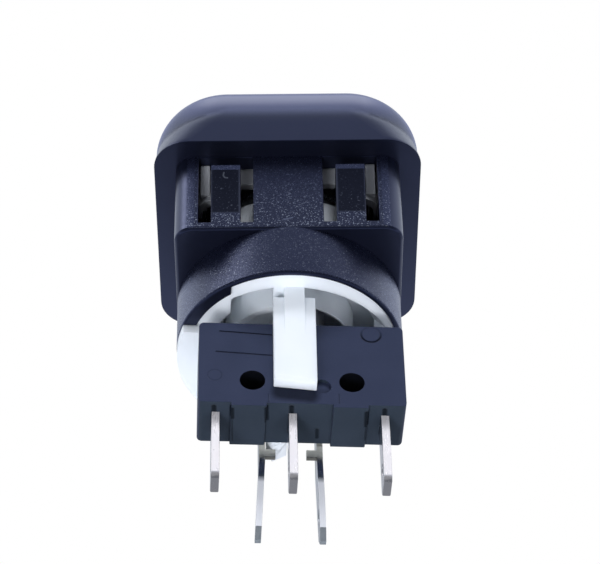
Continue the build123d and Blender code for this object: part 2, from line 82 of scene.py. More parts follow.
meshForm = {
    "mergeReach": 0.0008,
    "flatDegrees": 0.4,         # faces that differ by less are one flat
    "bevelDegrees": 38,         # edges sharper than this get rounded
    "bevelSegments": 2,
    "bevelProfile": 0.6,
    "smoothDegrees": 40,        # edges flatter than this are shaded smooth
    "normalWeight": 60,
}


def mergedCopy(nodeName):
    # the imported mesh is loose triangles, so a copy is merged and its flats joined up
    bm = bmesh.new()
    bm.from_mesh(nodes[nodeName].data)
    bmesh.ops.remove_doubles(bm, verts=bm.verts, dist=meshForm["mergeReach"] * mm)
    bmesh.ops.dissolve_limit(bm, angle_limit=math.radians(meshForm["flatDegrees"]), verts=bm.verts,
                             edges=bm.edges)
    return bm


def softenEdges(bm, width, skip=None):
    limit = math.radians(meshForm["bevelDegrees"])
    chosen = []
    for edge in bm.edges:
        if len(edge.link_faces) != 2 or not edge.is_convex or edge.calc_face_angle(0) < limit:
            continue
        if skip and skip(edge):
            continue
        chosen.append(edge)
    bmesh.ops.bevel(bm, geom=chosen, offset=width * mm, offset_type="OFFSET",
                    segments=meshForm["bevelSegments"], profile=meshForm["bevelProfile"], affect="EDGES",
                    clamp_overlap=False, miter_outer="SHARP", miter_inner="SHARP")
    return bm


def finishMesh(name, bm, materials, choose=None):
    # corners of the form stay sharp in the shading, rounded edges and barrels run smooth
    limit = math.radians(meshForm["smoothDegrees"])
    bm.normal_update()
    for edge in bm.edges:
        edge.smooth = len(edge.link_faces) == 2 and edge.calc_face_angle(0) < limit
    mesh = bpy.data.meshes.new(name)
    bm.to_mesh(mesh)
    bm.free()
    mesh.materials.clear()
    for material in materials:
        mesh.materials.append(material)
    for polygon in mesh.polygons:
        polygon.use_smooth = True
        polygon.material_index = choose(polygon) if choose else 0
    piece = addObject(name, mesh)
    weigh = piece.modifiers.new("weigh", "WEIGHTED_NORMAL")
    weigh.keep_sharp = True
    weigh.weight = meshForm["normalWeight"]
    return bakeModifiers(piece)


def standFor(piece, body, slotName, *nodeNames):
    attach(piece, body)
    if nodeNames:
        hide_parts(*nodeNames)
    return piece


# Nodes of the materials, with sizes and places in millimetres

def newMaterial(name):
    material = bpy.data.materials.new(name)
    material.use_nodes = True
    tree = material.node_tree
    tree.nodes.clear()
    output = tree.nodes.new("ShaderNodeOutputMaterial")
    shader = tree.nodes.new("ShaderNodeBsdfPrincipled")
    tree.links.new(shader.outputs[0], output.inputs[0])
    place = tree.nodes.new("ShaderNodeTexCoord")
    return material, tree, shader, place.outputs["Object"]


def feed(tree, socket, value):
    # a socket takes a node's output, a colour of three values, or any value of its own kind
    if isinstance(value, bpy.types.NodeSocket):
        tree.links.new(value, socket)
    elif socket.type == "RGBA":
        socket.default_value = (*value, 1)
    else:
        socket.default_value = value


def coordinates(tree, where):
    parts = tree.nodes.new("ShaderNodeSeparateXYZ")
    tree.links.new(where, parts.inputs[0])
    return parts.outputs


def noise(tree, where, size, detail=2.0, roughness=0.5, stretch=(1, 1, 1)):
    # size is that of one grain
    mapping = tree.nodes.new("ShaderNodeMapping")
    mapping.inputs["Scale"].default_value = stretch
    tree.links.new(where, mapping.inputs["Vector"])
    node = tree.nodes.new("ShaderNodeTexNoise")
    node.inputs["Scale"].default_value = 1 / (size * mm)
    node.inputs["Detail"].default_value = detail
    node.inputs["Roughness"].default_value = roughness
    tree.links.new(mapping.outputs[0], node.inputs["Vector"])
    return node.outputs["Fac"]


def ramp(tree, source, low, high, lowValue, highValue, kind="LINEAR"):
    node = tree.nodes.new("ShaderNodeMapRange")
    node.interpolation_type = kind
    node.inputs["From Min"].default_value = low
    node.inputs["From Max"].default_value = high
    node.inputs["To Min"].default_value = lowValue
    node.inputs["To Max"].default_value = highValue
    tree.links.new(source, node.inputs["Value"])
    return node.outputs["Result"]


def placeRamp(tree, source, span, lowValue, highValue, kind="LINEAR"):
    # a ramp between two places, given in millimetres
    return ramp(tree, source, span[0] * mm, span[1] * mm, lowValue, highValue, kind)


def blendColors(tree, factor, first, second):
    node = tree.nodes.new("ShaderNodeMix")
    node.data_type = "RGBA"
    feed(tree, node.inputs["A"], first)
    feed(tree, node.inputs["B"], second)
    tree.links.new(factor, node.inputs["Factor"])
    return node.outputs["Result"]


def bump(tree, shader, height, depth, before=None):
    node = tree.nodes.new("ShaderNodeBump")
    node.inputs["Distance"].default_value = depth * mm
    node.inputs["Strength"].default_value = 1.0
    tree.links.new(height, node.inputs["Height"])
    if before:
        tree.links.new(before, node.inputs["Normal"])
    tree.links.new(node.outputs["Normal"], shader.inputs["Normal"])
    return node.outputs["Normal"]


def calc(tree, operation, *values):
    node = tree.nodes.new("ShaderNodeMath")
    node.operation = operation
    for socket, value in zip(node.inputs, values):
        feed(tree, socket, value)
    return node.outputs[0]


def vectorCalc(tree, operation, *values):
    node = tree.nodes.new("ShaderNodeVectorMath")
    node.operation = operation
    for socket, value in zip(node.inputs, values):
        feed(tree, socket, value)
    return node


def flattened(tree, where, keep):
    return vectorCalc(tree, "MULTIPLY", where, keep).outputs["Vector"]


def strongest(tree, masks):
    result = masks[0]
    for mask in masks[1:]:
        result = calc(tree, "MAXIMUM", result, mask)
    return result


def strokeMask(tree, where, start, end, width, strength):
    # 1 along a straight groove between two points
    first = tuple(value * mm for value in start)
    along = tuple((b - a) * mm for a, b in zip(start, end))
    square = sum(value * value for value in along)
    offset = vectorCalc(tree, "SUBTRACT", where, first).outputs["Vector"]
    dot = vectorCalc(tree, "DOT_PRODUCT", offset, along).outputs["Value"]
    share = calc(tree, "MINIMUM", calc(tree, "MAXIMUM", calc(tree, "DIVIDE", dot, square), 0.0), 1.0)
    reach = vectorCalc(tree, "SCALE", along)
    tree.links.new(share, reach.inputs["Scale"])
    distance = vectorCalc(tree, "DISTANCE", offset, reach.outputs["Vector"]).outputs["Value"]
    return placeRamp(tree, distance, (0.35 * width, 0.75 * width), strength, 0.0)


def ringMask(tree, where, centre, radius, width, strength):
    middle = tuple(value * mm for value in centre)
    distance = vectorCalc(tree, "DISTANCE", where, middle).outputs["Value"]
    gap = calc(tree, "ABSOLUTE", calc(tree, "SUBTRACT", distance, radius * mm))
    return placeRamp(tree, gap, (0.3 * width, 0.8 * width), strength, 0.0)


# The bezel's flat sides are shaded as if they curved gently over to the front, and carry a painted highlight
# along the front of that curve

bezelCrown = {
    "span": (-9.2, -2.4),       # along y, where the curve is felt
    "drop": 1.5,                # how far a real crown would fall over that length
    "shine": (-6.4, -3.4),      # painted highlight: full extra gloss before the first place, none after the second
    "shineGain": 6.5,
    "shineTint": (0.80, 0.80, 1.0),
    "rim": (-8.6, -7.0),        # no extra gloss on the round front
    "corner": (8.0, 11.5),      # distance from the middle where a corner begins and is reached
    "cornerShare": 0.35,
}


def crownBump(tree, shader, where, before):
    x, y, z = coordinates(tree, where)
    height = placeRamp(tree, y, bezelCrown["span"], 0.0, 1.0, "SMOOTHERSTEP")
    bump(tree, shader, height, bezelCrown["drop"], before)
    shine = placeRamp(tree, y, bezelCrown["shine"], 1.0, 0.0, "SMOOTHSTEP")
    past = placeRamp(tree, y, bezelCrown["rim"], 0.0, 1.0)
    corner = calc(tree, "MINIMUM", calc(tree, "ABSOLUTE", x), calc(tree, "ABSOLUTE", z))
    offCorner = placeRamp(tree, corner, bezelCrown["corner"], 1.0, bezelCrown["cornerShare"])
    return calc(tree, "MULTIPLY", calc(tree, "MULTIPLY", shine, past), offCorner)


# Painted highlights: bright thin lines where the block's rear edge and the latch fingers' edges would catch the
# light, and a nick and an ejector mark, real marks drawn the same way

blockMarks = {
    "rearEdge": (9.93, 10.08),
    "rearEdgeStrength": 0.9,
    "nick": [((0.50, 9.0), (0.05, 8.95)), ((0.05, 8.95), (-0.38, 8.75))],
    "nickWidth": 0.13,
    "nickStrength": 0.6,
    "rampIn": (4.87, 5.02),     # a finger's edges, as distances from the middle
    "rampOut": (7.52, 7.67),
    "rampRear": (7.86, 8.0),
    "rampStrength": 0.5,
    "ejector": [((6.40, 3.15), (6.47, 3.50)), ((6.47, 3.50), (6.33, 3.75)), ((6.33, 3.75), (6.05, 3.80))],
    "ejectorWidth": 0.14,
}


def blockStrokes(tree, where, lines, width, strength):
    flat = flattened(tree, where, (1, 1, 0))
    return strongest(tree, [strokeMask(tree, flat, (*a, 0), (*b, 0), width, strength) for a, b in lines])


def rearEdgeHighlight(tree, where):
    x, y, z = coordinates(tree, where)
    # painted highlight along the block's rear top edge; the nick, a real mark, is drawn as a painted highlight
    edge = placeRamp(tree, y, blockMarks["rearEdge"], 0.0, blockMarks["rearEdgeStrength"])
    nick = blockStrokes(tree, where, blockMarks["nick"], blockMarks["nickWidth"], blockMarks["nickStrength"])
    return calc(tree, "MAXIMUM", edge, nick)


def rampEdgeHighlight(tree, where):
    x, y, z = coordinates(tree, where)
    aside = calc(tree, "ABSOLUTE", x)
    # painted highlights along the fingers' ramp edges; the ejector mark, a real mark, is drawn the same way on
    # the top side
    inner = placeRamp(tree, aside, blockMarks["rampIn"], 1.0, 0.0)
    outer = placeRamp(tree, aside, blockMarks["rampOut"], 0.0, 1.0)
    rear = placeRamp(tree, y, blockMarks["rampRear"], 0.0, 1.0)
    edges = calc(tree, "MULTIPLY", strongest(tree, [inner, outer, rear]), blockMarks["rampStrength"])
    mark = blockStrokes(tree, where, blockMarks["ejector"], blockMarks["ejectorWidth"], 1.0)
    above = calc(tree, "GREATER_THAN", z, 0.0)
    return calc(tree, "MAXIMUM", edges, calc(tree, "MULTIPLY", mark, above))


# Grooves moulded into the switch, given a bump and darkened with painted shade: lines are (start, end, width,
# strength), rings are (centre, radius, width, strength, share of it on the front half, where the painted shade
# is fainter)

switchMarks = {
    "wideLines": [((6.81, 20.20), (1.68, 20.56), 0.14, 1.0), ((7.14, 22.87), (1.70, 23.24), 0.14, 0.9),
                  ((2.15, 28.2), (2.15, 29.3), 0.12, 0.35), ((-4.55, 28.0), (-4.55, 29.3), 0.12, 0.35)],
    "wideRings": [((-7.83, 20.21), 0.95, 0.18, 1.0, 0.25), ((7.26, 25.9), 0.67, 0.12, 0.22, 1.0)],
    # painted shadow beyond the holder's arm: start, end, width, strength
    "wideArmShadow": ((0.9, 27.85), (-1.75, 28.2), 1.7, 0.75),
    "rearLines": [((7.35, 5.9), (7.35, 6.7), 0.42, 0.9), ((0.0, 5.6), (0.0, 6.5), 0.42, 0.9),
                  ((-8.85, 5.1), (-8.85, 5.9), 0.42, 0.9), ((5.64, 5.4), (5.63, 6.7), 0.36, 0.85),
                  ((5.68, 2.1), (5.66, 5.4), 0.12, 0.45), ((2.36, 4.8), (2.38, 6.7), 0.34, 0.8),
                  ((-7.12, 4.0), (-7.14, 5.9), 0.36, 0.85), ((-7.0, 1.9), (-7.1, 4.0), 0.12, 0.45),
                  ((-2.43, 2.0), (-2.43, 3.15), 0.30, 0.75)],
    "rearFace": 29.0,           # y from which a place is on the terminal face
    "wideEnd": 29.22,           # y up to which it is on the wide face
    "wideFace": 5.0,            # z above which it is on the wide face
}


def switchGrooves(tree, where):
    x, y, z = coordinates(tree, where)
    onWide = calc(tree, "MULTIPLY", calc(tree, "GREATER_THAN", z, switchMarks["wideFace"] * mm),
                  calc(tree, "LESS_THAN", y, switchMarks["wideEnd"] * mm))
    onRear = calc(tree, "GREATER_THAN", y, switchMarks["rearFace"] * mm)
    wide = flattened(tree, where, (1, 1, 0))
    rear = flattened(tree, where, (1, 0, 1))
    wideMasks = [strokeMask(tree, wide, (*a, 0), (*b, 0), width, strength)
                 for a, b, width, strength in switchMarks["wideLines"]]
    for centre, radius, width, strength, frontShare in switchMarks["wideRings"]:
        # painted shade: a ring is darker on its rear half than on its front half
        lean = placeRamp(tree, y, (centre[1] - 0.5 * radius, centre[1] + 0.5 * radius), frontShare, 1.0)
        ring = ringMask(tree, wide, (*centre, 0), radius, width, strength)
        wideMasks.append(calc(tree, "MULTIPLY", ring, lean))
    rearMasks = [strokeMask(tree, rear, (a[0], 0, a[1]), (b[0], 0, b[1]), width, strength)
                 for a, b, width, strength in switchMarks["rearLines"]]
    return calc(tree, "MAXIMUM", calc(tree, "MULTIPLY", strongest(tree, wideMasks), onWide),
                calc(tree, "MULTIPLY", strongest(tree, rearMasks), onRear))


def switchArmShadow(tree, where):
    # painted shadow of the holder's arm on the switch's wide face, just beyond the arm's end
    x, y, z = coordinates(tree, where)
    onWide = calc(tree, "GREATER_THAN", z, switchMarks["wideFace"] * mm)
    start, end, width, strength = switchMarks["wideArmShadow"]
    patch = strokeMask(tree, flattened(tree, where, (1, 1, 0)), (*start, 0), (*end, 0), width, strength)
    return calc(tree, "MULTIPLY", patch, onWide)


plasticSkin = {
    "cloud": 4.0,               # size of the faint mottling
    "restShare": 0.85,          # gloss between the sparkling grains
    "glintRise": (3.0, 9.0),    # along y, where the sparkle grows; less of it near the bezel is painted shade
    "glintShares": (0.45, 1.3),
    "glintTint": (0.80, 0.86, 1.0),
    "softReach": 1.5,
}


def addGlints(tree, shader, where, specular, tint, glints, lights, flankSheen):
    # sparkling grains, with thin bright edges from lights as painted highlights and a painted sheen on a
    # barrel's flanks
    size, low, high, gain = glints
    x, y, z = coordinates(tree, where)
    # painted shade: fewer glints near the bezel, more toward the rear
    rearward = placeRamp(tree, y, plasticSkin["glintRise"], *plasticSkin["glintShares"])
    grains = ramp(tree, noise(tree, where, size, 1.0, 0.6), low, high, 0.0, 1.0)
    spots = calc(tree, "MULTIPLY", grains, rearward)
    # painted highlights along edges
    if lights:
        spots = calc(tree, "MAXIMUM", spots, lights(tree, where))
    level = calc(tree, "MULTIPLY_ADD", spots, gain * specular, plasticSkin["restShare"] * specular)
    # painted sheen: more gloss on a barrel's flanks
    if flankSheen:
        start, end, most = flankSheen
        aside = calc(tree, "ABSOLUTE", x)
        level = calc(tree, "MULTIPLY", level, placeRamp(tree, aside, (start, end), 1.0, most))
    tree.links.new(level, shader.inputs["Specular IOR Level"])
    tree.links.new(blendColors(tree, spots, tint, plasticSkin["glintTint"]), shader.inputs["Specular Tint"])


def addCrown(tree, shader, where, specular, tint, normal):
    # painted highlight on the bezel's slopes, toward the front
    share = crownBump(tree, shader, where, normal)
    gain = calc(tree, "ADD", 1.0, calc(tree, "MULTIPLY", share, bezelCrown["shineGain"]))
    tree.links.new(calc(tree, "MULTIPLY", gain, specular), shader.inputs["Specular IOR Level"])
    tree.links.new(blendColors(tree, share, tint, bezelCrown["shineTint"]), shader.inputs["Specular Tint"])


def mouldedPlastic(name, dark, light, rough, grain, grainDepth, specular=0.5, tint=(1, 1, 1), soft=0.0,
                   crown=False, glints=None, lights=None, flankSheen=None, marks=None, paintedShadow=None, markDepth=0.0,
                   markShade=0.0, insideShade=None):
    # glints has the grains' size, their two thresholds and their gain, lights the mask of painted highlights
    # on edges, the flank sheen two distances from the middle and the gain of a painted sheen past them, marks
    # the mask of moulded grooves, darkened with painted shade, the painted shadow a mask of painted shadow,
    # and the inside shade the y up to which the colour is painted darker as shade inside, and its share
    material, tree, shader, where = newMaterial(name)
    mottle = ramp(tree, noise(tree, where, plasticSkin["cloud"], 3.0), 0.3, 0.7, 0.0, 1.0)
    color = blendColors(tree, mottle, dark, light)
    fine = noise(tree, where, grain, 2.0, 0.6)
    tree.links.new(ramp(tree, fine, 0.3, 0.7, *rough), shader.inputs["Roughness"])
    normal = bump(tree, shader, fine, grainDepth)
    shader.inputs["Specular IOR Level"].default_value = specular
    shader.inputs["Specular Tint"].default_value = (*tint, 1)
    if glints:
        addGlints(tree, shader, where, specular, tint, glints, lights, flankSheen)
    if crown:
        addCrown(tree, shader, where, specular, tint, normal)
    if soft:
        shader.inputs["Subsurface Weight"].default_value = soft
        shader.inputs["Subsurface Radius"].default_value = (1.0, 1.0, 1.0)
        shader.inputs["Subsurface Scale"].default_value = plasticSkin["softReach"] * mm
    if marks:
        mask = marks(tree, where)
        bump(tree, shader, calc(tree, "MULTIPLY", mask, -1.0), markDepth, normal)
        # the painted shadow of the arm joins the grooves' mask
        if paintedShadow:
            mask = calc(tree, "MAXIMUM", mask, paintedShadow(tree, where))
        # painted shade in the grooves and the painted shadow: darker colour and less gloss under the mask
        color = blendColors(tree, mask, color, tuple(value * (1 - markShade) for value in dark))
        level = calc(tree, "SUBTRACT", 1.0, calc(tree, "MULTIPLY", mask, markShade))
        tree.links.new(calc(tree, "MULTIPLY", level, specular), shader.inputs["Specular IOR Level"])
    # painted shade: the colour is darker toward the front, inside the housing
    if insideShade:
        edge, share = insideShade
        x, y, z = coordinates(tree, where)
        color = blendColors(tree, placeRamp(tree, y, (edge - 1.0, edge + 1.0), share, 1.0), (0, 0, 0), color)
    tree.links.new(color, shader.inputs["Base Color"])
    return material


blackTint = (0.42, 0.50, 0.98)
plasticLooks = {
    "satinBlack": dict(dark=(0.0036, 0.0042, 0.0080), light=(0.0044, 0.0051, 0.0098), rough=(0.28, 0.34),
                       grain=0.35, grainDepth=0.003, specular=0.95, tint=blackTint, crown=True),
    "sparkBlack": dict(dark=(0.0040, 0.0047, 0.0100), light=(0.0056, 0.0066, 0.0130), rough=(0.20, 0.42),
                       grain=0.14, grainDepth=0.06, specular=0.90, tint=blackTint,
                       glints=(0.15, 0.59, 0.70, 5.0), lights=rearEdgeHighlight),
    # a glossier copy of sparkBlack for the top's side strips and the fingers' front lands; on the lands it is
    # painted light against the bezel's shade
    "stripBlack": dict(dark=(0.0046, 0.0054, 0.0110), light=(0.0062, 0.0072, 0.0140), rough=(0.22, 0.42),
                       grain=0.14, grainDepth=0.06, specular=1.50, tint=blackTint,
                       glints=(0.15, 0.61, 0.72, 3.0), lights=rearEdgeHighlight),
    # barrelBlack carries a painted sheen on its flanks
    "barrelBlack": dict(dark=(0.0036, 0.0042, 0.0090), light=(0.0046, 0.0054, 0.0110), rough=(0.22, 0.36),
                        grain=0.12, grainDepth=0.03, specular=0.98, tint=blackTint,
                        glints=(0.13, 0.61, 0.74, 2.6), flankSheen=(8.6, 10.6, 2.0)),
    # a darker, duller copy of the textured black: painted shade on the fingers' ramps
    "rampBlack": dict(dark=(0.0030, 0.0036, 0.0060), light=(0.0040, 0.0046, 0.0080), rough=(0.26, 0.32),
                      grain=0.25, grainDepth=0.003, specular=0.24, tint=blackTint,
                      glints=(0.20, 0.66, 0.74, 6.0), lights=rampEdgeHighlight),
    # holderWhite is painted darker toward the front, as shade inside the housing
    "holderWhite": dict(dark=(0.87, 0.91, 0.95), light=(0.90, 0.94, 0.97), rough=(0.38, 0.48),
                        grain=0.3, grainDepth=0.003, soft=0.6, insideShade=(10.0, 0.64)),
    # grey, though the carrier and diffuser are milky white: painted shade inside the housing
    "milkInShade": dict(dark=(0.46, 0.47, 0.49), light=(0.52, 0.53, 0.55), rough=(0.28, 0.36),
                      grain=0.4, grainDepth=0.003, soft=0.25),
    "lensWhite": dict(dark=(0.68, 0.71, 0.73), light=(0.73, 0.75, 0.77), rough=(0.10, 0.16),
                      grain=0.6, grainDepth=0.001, soft=0.35),
    "slateBlue": dict(dark=(0.025, 0.032, 0.063), light=(0.030, 0.037, 0.072), rough=(0.42, 0.52),
                      grain=0.2, grainDepth=0.006, specular=0.30, tint=(0.7, 0.78, 1.0),
                      marks=switchGrooves, markDepth=0.08, markShade=0.75, paintedShadow=switchArmShadow),
    # a duller, less blue copy of slateBlue for the terminal face: painted shade on the side turned away from
    # the key light
    "slateShadedRear": dict(dark=(0.023, 0.032, 0.046), light=(0.027, 0.036, 0.052), rough=(0.42, 0.52),
                      grain=0.2, grainDepth=0.006, specular=0.26, tint=(0.75, 0.9, 1.0),
                      marks=switchGrooves, markDepth=0.08, markShade=0.8),
    # near black on the walls of the switch's holes: painted shade in the holes
    "holeShade": dict(dark=(0.0030, 0.0034, 0.0050), light=(0.0040, 0.0045, 0.0065), rough=(0.45, 0.55),
                     grain=0.2, grainDepth=0.003, specular=0.15),
    "plungerRed": dict(dark=(0.30, 0.04, 0.03), light=(0.38, 0.05, 0.04), rough=(0.30, 0.40),
                       grain=0.3, grainDepth=0.004),
}
plastics = {name: mouldedPlastic(name, **look) for name, look in plasticLooks.items()}


def plainMetal(name, first, second, rough, grain, depth, stretch=(1, 1, 1), metallic=1.0):
    material, tree, shader, where = newMaterial(name)
    mottle = ramp(tree, noise(tree, where, 1.6, 3.0), 0.35, 0.65, 0.0, 1.0)
    tree.links.new(blendColors(tree, mottle, first, second), shader.inputs["Base Color"])
    shader.inputs["Metallic"].default_value = metallic
    fine = noise(tree, where, grain, 3.0, 0.6, stretch)
    tree.links.new(ramp(tree, fine, 0.3, 0.7, *rough), shader.inputs["Roughness"])
    bump(tree, shader, fine, depth)
    return material


drawnAlong = (1, 0.15, 1)
metalLooks = {
    "tinPlate": dict(first=(0.90, 0.87, 0.87), second=(0.94, 0.89, 0.88), rough=(0.20, 0.28), grain=0.5,
                     depth=0.0015, stretch=drawnAlong),
    # a half-metallic copy of tinPlate for the tabs' narrow edges, kept pale as a painted reflection
    "tabEdge": dict(first=(0.95, 0.90, 0.89), second=(0.98, 0.92, 0.90), rough=(0.24, 0.32), grain=0.5,
                    depth=0.0015, stretch=drawnAlong, metallic=0.3),
    "springSteel": dict(first=(0.60, 0.61, 0.64), second=(0.70, 0.71, 0.73), rough=(0.22, 0.34), grain=0.2,
                        depth=0.002),
    "brassCap": dict(first=(0.74, 0.60, 0.33), second=(0.80, 0.68, 0.40), rough=(0.24, 0.38), grain=0.3,
                     depth=0.004),
    "silverContact": dict(first=(0.84, 0.83, 0.80), second=(0.88, 0.87, 0.84), rough=(0.2, 0.3), grain=0.2,
                          depth=0.003),
    "copperStrip": dict(first=(0.72, 0.42, 0.25), second=(0.80, 0.50, 0.32), rough=(0.24, 0.36), grain=0.3,
                        depth=0.003),
    "darkWire": dict(first=(0.35, 0.35, 0.37), second=(0.45, 0.45, 0.47), rough=(0.3, 0.4), grain=0.2,
                     depth=0.002),
}
metals = {name: plainMetal(name, **look) for name, look in metalLooks.items()}

bladeZones = {
    "switchReflection": (29.2, 30.2),    # painted dark reflection of the switch: darker up to here, at the crimped end
    "switchReflectionLook": (0.50, 0.48, 0.42),
    "outerZone": (31.5, 32.3),     # from here on the blade takes its outer look, a painted bright reflection on the sides and edges
    "metal": ((0.78, 0.78, 0.80), (0.84, 0.84, 0.86)),
    "rough": (0.14, 0.26),
}


def bladeMetal(name, outerLook, outerMetal):
    material, tree, shader, where = newMaterial(name)
    x, y, z = coordinates(tree, where)
    # painted dark reflection of the switch near the crimped end, then the outer look past the outer zone
    bright = placeRamp(tree, y, bladeZones["switchReflection"], 0.0, 1.0)
    outerZone = placeRamp(tree, y, bladeZones["outerZone"], 0.0, 1.0)
    mottle = ramp(tree, noise(tree, where, 1.2, 3.0), 0.35, 0.65, 0.0, 1.0)
    metal = blendColors(tree, mottle, *bladeZones["metal"])
    bare = blendColors(tree, bright, bladeZones["switchReflectionLook"], metal)
    tree.links.new(blendColors(tree, outerZone, bare, outerLook), shader.inputs["Base Color"])
    tree.links.new(ramp(tree, outerZone, 0.0, 1.0, 1.0, outerMetal), shader.inputs["Metallic"])
    fine = noise(tree, where, 0.5, 3.0, 0.6, drawnAlong)
    tree.links.new(ramp(tree, fine, 0.3, 0.7, *bladeZones["rough"]), shader.inputs["Roughness"])
    bump(tree, shader, fine, 0.002)
    return material


# Copies of one metal for a blade's wide sides, narrow edges and end: past the outer zone's start the narrow
# edges are painted white and the wide sides a little paler, a painted bright reflection, and the end turns grey
bladeLooks = [
    bladeMetal("bladeSide", (0.86, 0.86, 0.88), 0.85),
    bladeMetal("bladeEdge", (0.96, 0.96, 0.98), 0.0),
    bladeMetal("bladeTip", (0.34, 0.37, 0.39), 0.5),
]


def clearGlass(name):
    material, tree, shader, where = newMaterial(name)
    shader.inputs["Transmission Weight"].default_value = 1.0
    shader.inputs["IOR"].default_value = 1.48
    shader.inputs["Base Color"].default_value = (0.97, 0.98, 1.0, 1)
    waves = noise(tree, where, 2.5, 2.0)
    tree.links.new(ramp(tree, waves, 0.3, 0.7, 0.0, 0.05), shader.inputs["Roughness"])
    bump(tree, shader, waves, 0.01)
    return material


bulbGlass = clearGlass("bulbGlass")
print("materials ready")


# Helpers for pieces

def softPiece(nodeName, pieceName, materials, body, slotName, width, skip=None, choose=None):
    # the node's own mesh with softer edges takes the node's place
    piece = finishMesh(pieceName, softenEdges(mergedCopy(nodeName), width, skip=skip), materials, choose)
    return standFor(piece, body, slotName, nodeName)


def paintNode(nodeName, material):
    nodes[nodeName].data.materials.clear()
    nodes[nodeName].data.materials.append(material)


def stripFinish(polygon):
    # 0 on a metal strip's wide sides, 1 on its narrow edges, 2 on its end
    if abs(polygon.normal.x) > 0.6:
        return 0
    return 2 if polygon.normal.y > 0.25 else 1


# Housing

housingForm = {
    "edge": 0.10,               # rounding of the moulded edges
    "blockTop": 11.35,          # height of the block's flat sides
    "topReach": 0.12,           # a face is on the top down to this depth
    "pad": (0.05, 10.25),       # along y, the top's front and rear
    "finger": (4.7, 7.75),      # a latch finger's sides
    "rampLean": (0.08, 0.4),    # how far a finger's ramp faces the rear
    "stripIn": 9.0,
    "landEnd": 3.0,
    "barrel": 11.3,
    "barrelReach": 0.06,
}
housingLooks = [plastics[tone + "Black"] for tone in ("satin", "spark", "ramp", "strip", "barrel")]


def housingFinish(polygon):
    # place of the polygon's look in housingLooks
    centre = polygon.center / mm
    outward = polygon.normal
    padFront, padEnd = housingForm["pad"]
    aroundBarrel = abs(math.hypot(centre.x, centre.z) - housingForm["barrel"]) < housingForm["barrelReach"]
    if centre.y > padEnd and aroundBarrel:
        return 4
    if abs(centre.z) < housingForm["blockTop"] - housingForm["topReach"] or not padFront < centre.y < padEnd:
        return 0
    fingerIn, fingerOut = housingForm["finger"]
    onFinger = fingerIn < abs(centre.x) < fingerOut
    leastLean, mostLean = housingForm["rampLean"]
    if onFinger and leastLean < outward.y < mostLean:
        return 2
    onLand = onFinger and centre.y < housingForm["landEnd"]
    if abs(outward.z) > 0.9 and (abs(centre.x) > housingForm["stripIn"] or onLand):
        return 3
    return 1 if abs(outward.z) > 0.7 else 0


softPiece("housing", "housingShell", housingLooks, "housing", "black_housing", housingForm["edge"],
          choose=housingFinish)
print("housing ready")


# Lens, diffuser and carrier

buttonForm = {"edge": 0.08}
for nodeName, pieceName, lookName, slotName in (("lens_carrier", "carrierSleeve", "milkInShade", "milky_carrier"),
                                                ("diffuser", "diffuserPlate", "milkInShade", "milky_diffuser"),
                                                ("lens", "lensCap", "lensWhite", "clear_white_lens")):
    softPiece(nodeName, pieceName, [plastics[lookName]], "button", slotName, buttonForm["edge"])
print("button ready")


# Holder and lamp

holderForm = {"edge": 0.08, "bladeEdge": 0.06}
softPiece("lamp_holder", "holderBody", [plastics["holderWhite"]], "housing", "white_holder",
          holderForm["edge"])
for side in ("left", "right"):
    softPiece("lamp_contact_" + side, "lampBlade" + side.title(), bladeLooks, "housing", "tinned_terminal",
              holderForm["bladeEdge"], choose=stripFinish)
paintNode("lamp_glass", bulbGlass)
paintNode("lamp_filament", metals["darkWire"])
paintNode("lamp_cap", metals["brassCap"])
print("holder ready")


# Switch

switchForm = {
    "seam": 5.85,               # height where the cover sits on the case, before the twist
    "seamReach": 0.03,
    "twist": 0.0523,            # rise of that plane along x
    "edge": 0.09,
    "tabEdge": 0.12,
    "holes": ((3.85, 26.35), (-5.65, 26.35)),
    "holeReach": 1.55,
}
slateLooks = [plastics[name] for name in ("slateBlue", "slateShadedRear", "holeShade")]
tabLooks = [metals[name] for name in ("tinPlate", "tabEdge", "tinPlate")]


def onSeam(edge):
    return all(abs(vert.co.z - switchForm["twist"] * vert.co.x - switchForm["seam"] * mm)
               < switchForm["seamReach"] * mm for vert in edge.verts)


def switchFinish(polygon):
    # place of the polygon's look in slateLooks: hole walls take the painted shade, the terminal face the shaded
    # copy
    centre = polygon.center / mm
    for x, y in switchForm["holes"]:
        if math.hypot(centre.x - x, centre.y - y) < switchForm["holeReach"] and abs(polygon.normal.z) < 0.5:
            return 2
    return 1 if polygon.normal.y > 0.8 else 0


for part in ("case", "cover"):
    softPiece("switch_" + part, "switch" + part.title(), slateLooks, "housing", "slate_" + part,
              switchForm["edge"], skip=onSeam, choose=switchFinish)
for kind in ("common", "open", "closed"):
    softPiece(kind + "_terminal", kind + "Tab", tabLooks, "housing", "switch_terminal", switchForm["tabEdge"],
              choose=stripFinish)
paintNode("switch_plunger", plastics["plungerRed"])
for nodeName in ("open_contact", "closed_contact", "moving_contact"):
    paintNode(nodeName, metals["silverContact"])
paintNode("switch_blade", metals["copperStrip"])
print("switch ready")


# Return spring

springForm = {
    "radius": 8.15,
    "wire": 0.3,                # radius of the wire
    "front": -3.2,
    "rear": 4.3,
    "fixedEnd": 4.6,            # y of the end that stays when the button is pressed
    "turns": 5.5,
    "closedTurns": 0.9,         # flat turns at each end
    "stepsPerTurn": 48,
    "sides": 10,
    "pressedShare": 0.753,      # length left when fully pressed
}


